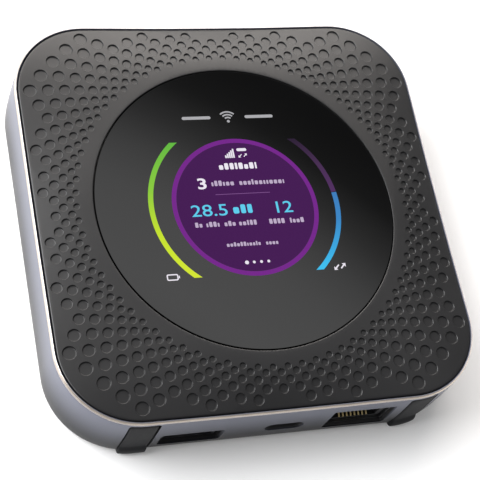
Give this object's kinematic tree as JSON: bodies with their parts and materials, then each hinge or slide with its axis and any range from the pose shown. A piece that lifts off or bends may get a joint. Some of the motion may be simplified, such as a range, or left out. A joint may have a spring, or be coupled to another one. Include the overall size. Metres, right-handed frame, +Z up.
{
  "type": "mobile hotspot",
  "caption": "Square pocket hotspot: crowned dimpled top with a round display, satin side band, socket row, hinged antenna covers, power button and lift-off battery cover.",
  "frame": {"origin": "centre of the square footprint on the plane that the four feet rest on", "axes": "+Z up through the display, -Y towards the wall with the sockets, +X to the right when facing the sockets"},
  "size_m": [0.1054, 0.1054, 0.0215],
  "materials": {
    "band_paint": "satin silver-grey metallic paint",
    "plate_plastic": "fine matte texture",
    "display_glass": "polished cover glass, black behind",
    "black_plastic": "fine matte texture",
    "lcd": "smooth",
    "ribbon": "amber film",
    "connector_plastic": "matte",
    "spreader_metal": "brushed",
    "battery_shell": "matte",
    "gold": "plated",
    "board": "solder mask",
    "tin": "tin plated",
    "pad": "soft",
    "socket_plastic": "matte",
    "rubber": "matte",
    "screw_steel": "zinc plated"
  },
  "bodies": {
    "housing": {"antenna_pocket_left": "black_plastic", "antenna_pocket_right": "black_plastic", "antenna_socket_left": "gold", "antenna_socket_right": "gold", "antenna_strip_left": "gold", "antenna_strip_right": "gold", "battery_contacts": "gold", "bottom_chassis": "black_plastic", "case_screw_1": "screw_steel", "case_screw_2": "screw_steel", "case_screw_3": "screw_steel", "case_screw_4": "screw_steel", "display_carrier": "black_plastic", "display_glass": "display_glass", "foot_front_left": "rubber", "foot_front_right": "rubber", "foot_rear_left": "rubber", "foot_rear_right": "rubber", "heat_spreader": "spreader_metal", "lcd_connector": "connector_plastic", "lcd_module": "lcd", "lcd_ribbon": "ribbon", "main_pcb": "board", "microsd_socket": "tin", "modem_shield": "tin", "power_switch": "tin", "processor_shield": "tin", "radio_shield": "tin", "reset_switch": "tin", "rj45_contact_1": "gold", "rj45_contact_2": "gold", "rj45_contact_3": "gold", "rj45_contact_4": "gold", "rj45_contact_5": "gold", "rj45_contact_6": "gold", "rj45_contact_7": "gold", "rj45_contact_8": "gold", "rj45_housing": "socket_plastic", "rj45_shield": "tin", "side_band": "band_paint", "sim_socket": "tin", "thermal_pad": "pad", "top_plate": "plate_plastic", "usb_a_shell": "tin", "usb_a_tongue": "socket_plastic", "usb_c_shell": "tin", "usb_c_tongue": "socket_plastic"},
    "left_antenna_cover": {"antenna_cover_left": "rubber"},
    "right_antenna_cover": {"antenna_cover_right": "rubber"},
    "power_key": {"power_button": "band_paint"},
    "reset_key": {"reset_button": "black_plastic"},
    "bay_cover": {"battery_cover": "black_plastic"},
    "battery": {"battery_pack": "battery_shell"}
  },
  "joints": [
    {"name": "left_cover_hinge", "type": "hinge", "parent": "housing", "child": "left_antenna_cover", "pos_m": [-0.0335, -0.0516, 0.00155], "axis": [1, 0, 0], "range_deg": [0, 88]},
    {"name": "right_cover_hinge", "type": "hinge", "parent": "housing", "child": "right_antenna_cover", "pos_m": [0.03601, -0.05138, 0.00155], "axis": [0.9882, 0.153, 0], "range_deg": [0, 88]},
    {"name": "power_key_slide", "type": "slide", "parent": "housing", "child": "power_key", "axis": [0, -1, 0], "range_m": [0, 0.0004], "stiffness_N_per_m": 2000, "springref_m": -0.0005},
    {"name": "reset_key_slide", "type": "slide", "parent": "housing", "child": "reset_key", "axis": [0, 0, 1], "range_m": [0, 0.0002], "stiffness_N_per_m": 1500, "springref_m": -0.0005},
    {"name": "bay_cover_lift", "type": "slide", "parent": "housing", "child": "bay_cover", "axis": [0, 0, -1], "range_m": [0, 0.03]},
    {"name": "battery_lift", "type": "slide", "parent": "housing", "child": "battery", "axis": [0, 0, -1], "range_m": [0, 0.015]}
  ],
  "couplings": [
    {"joint": "battery_lift", "follows": "bay_cover_lift", "ratio": 0.5}
  ]
}
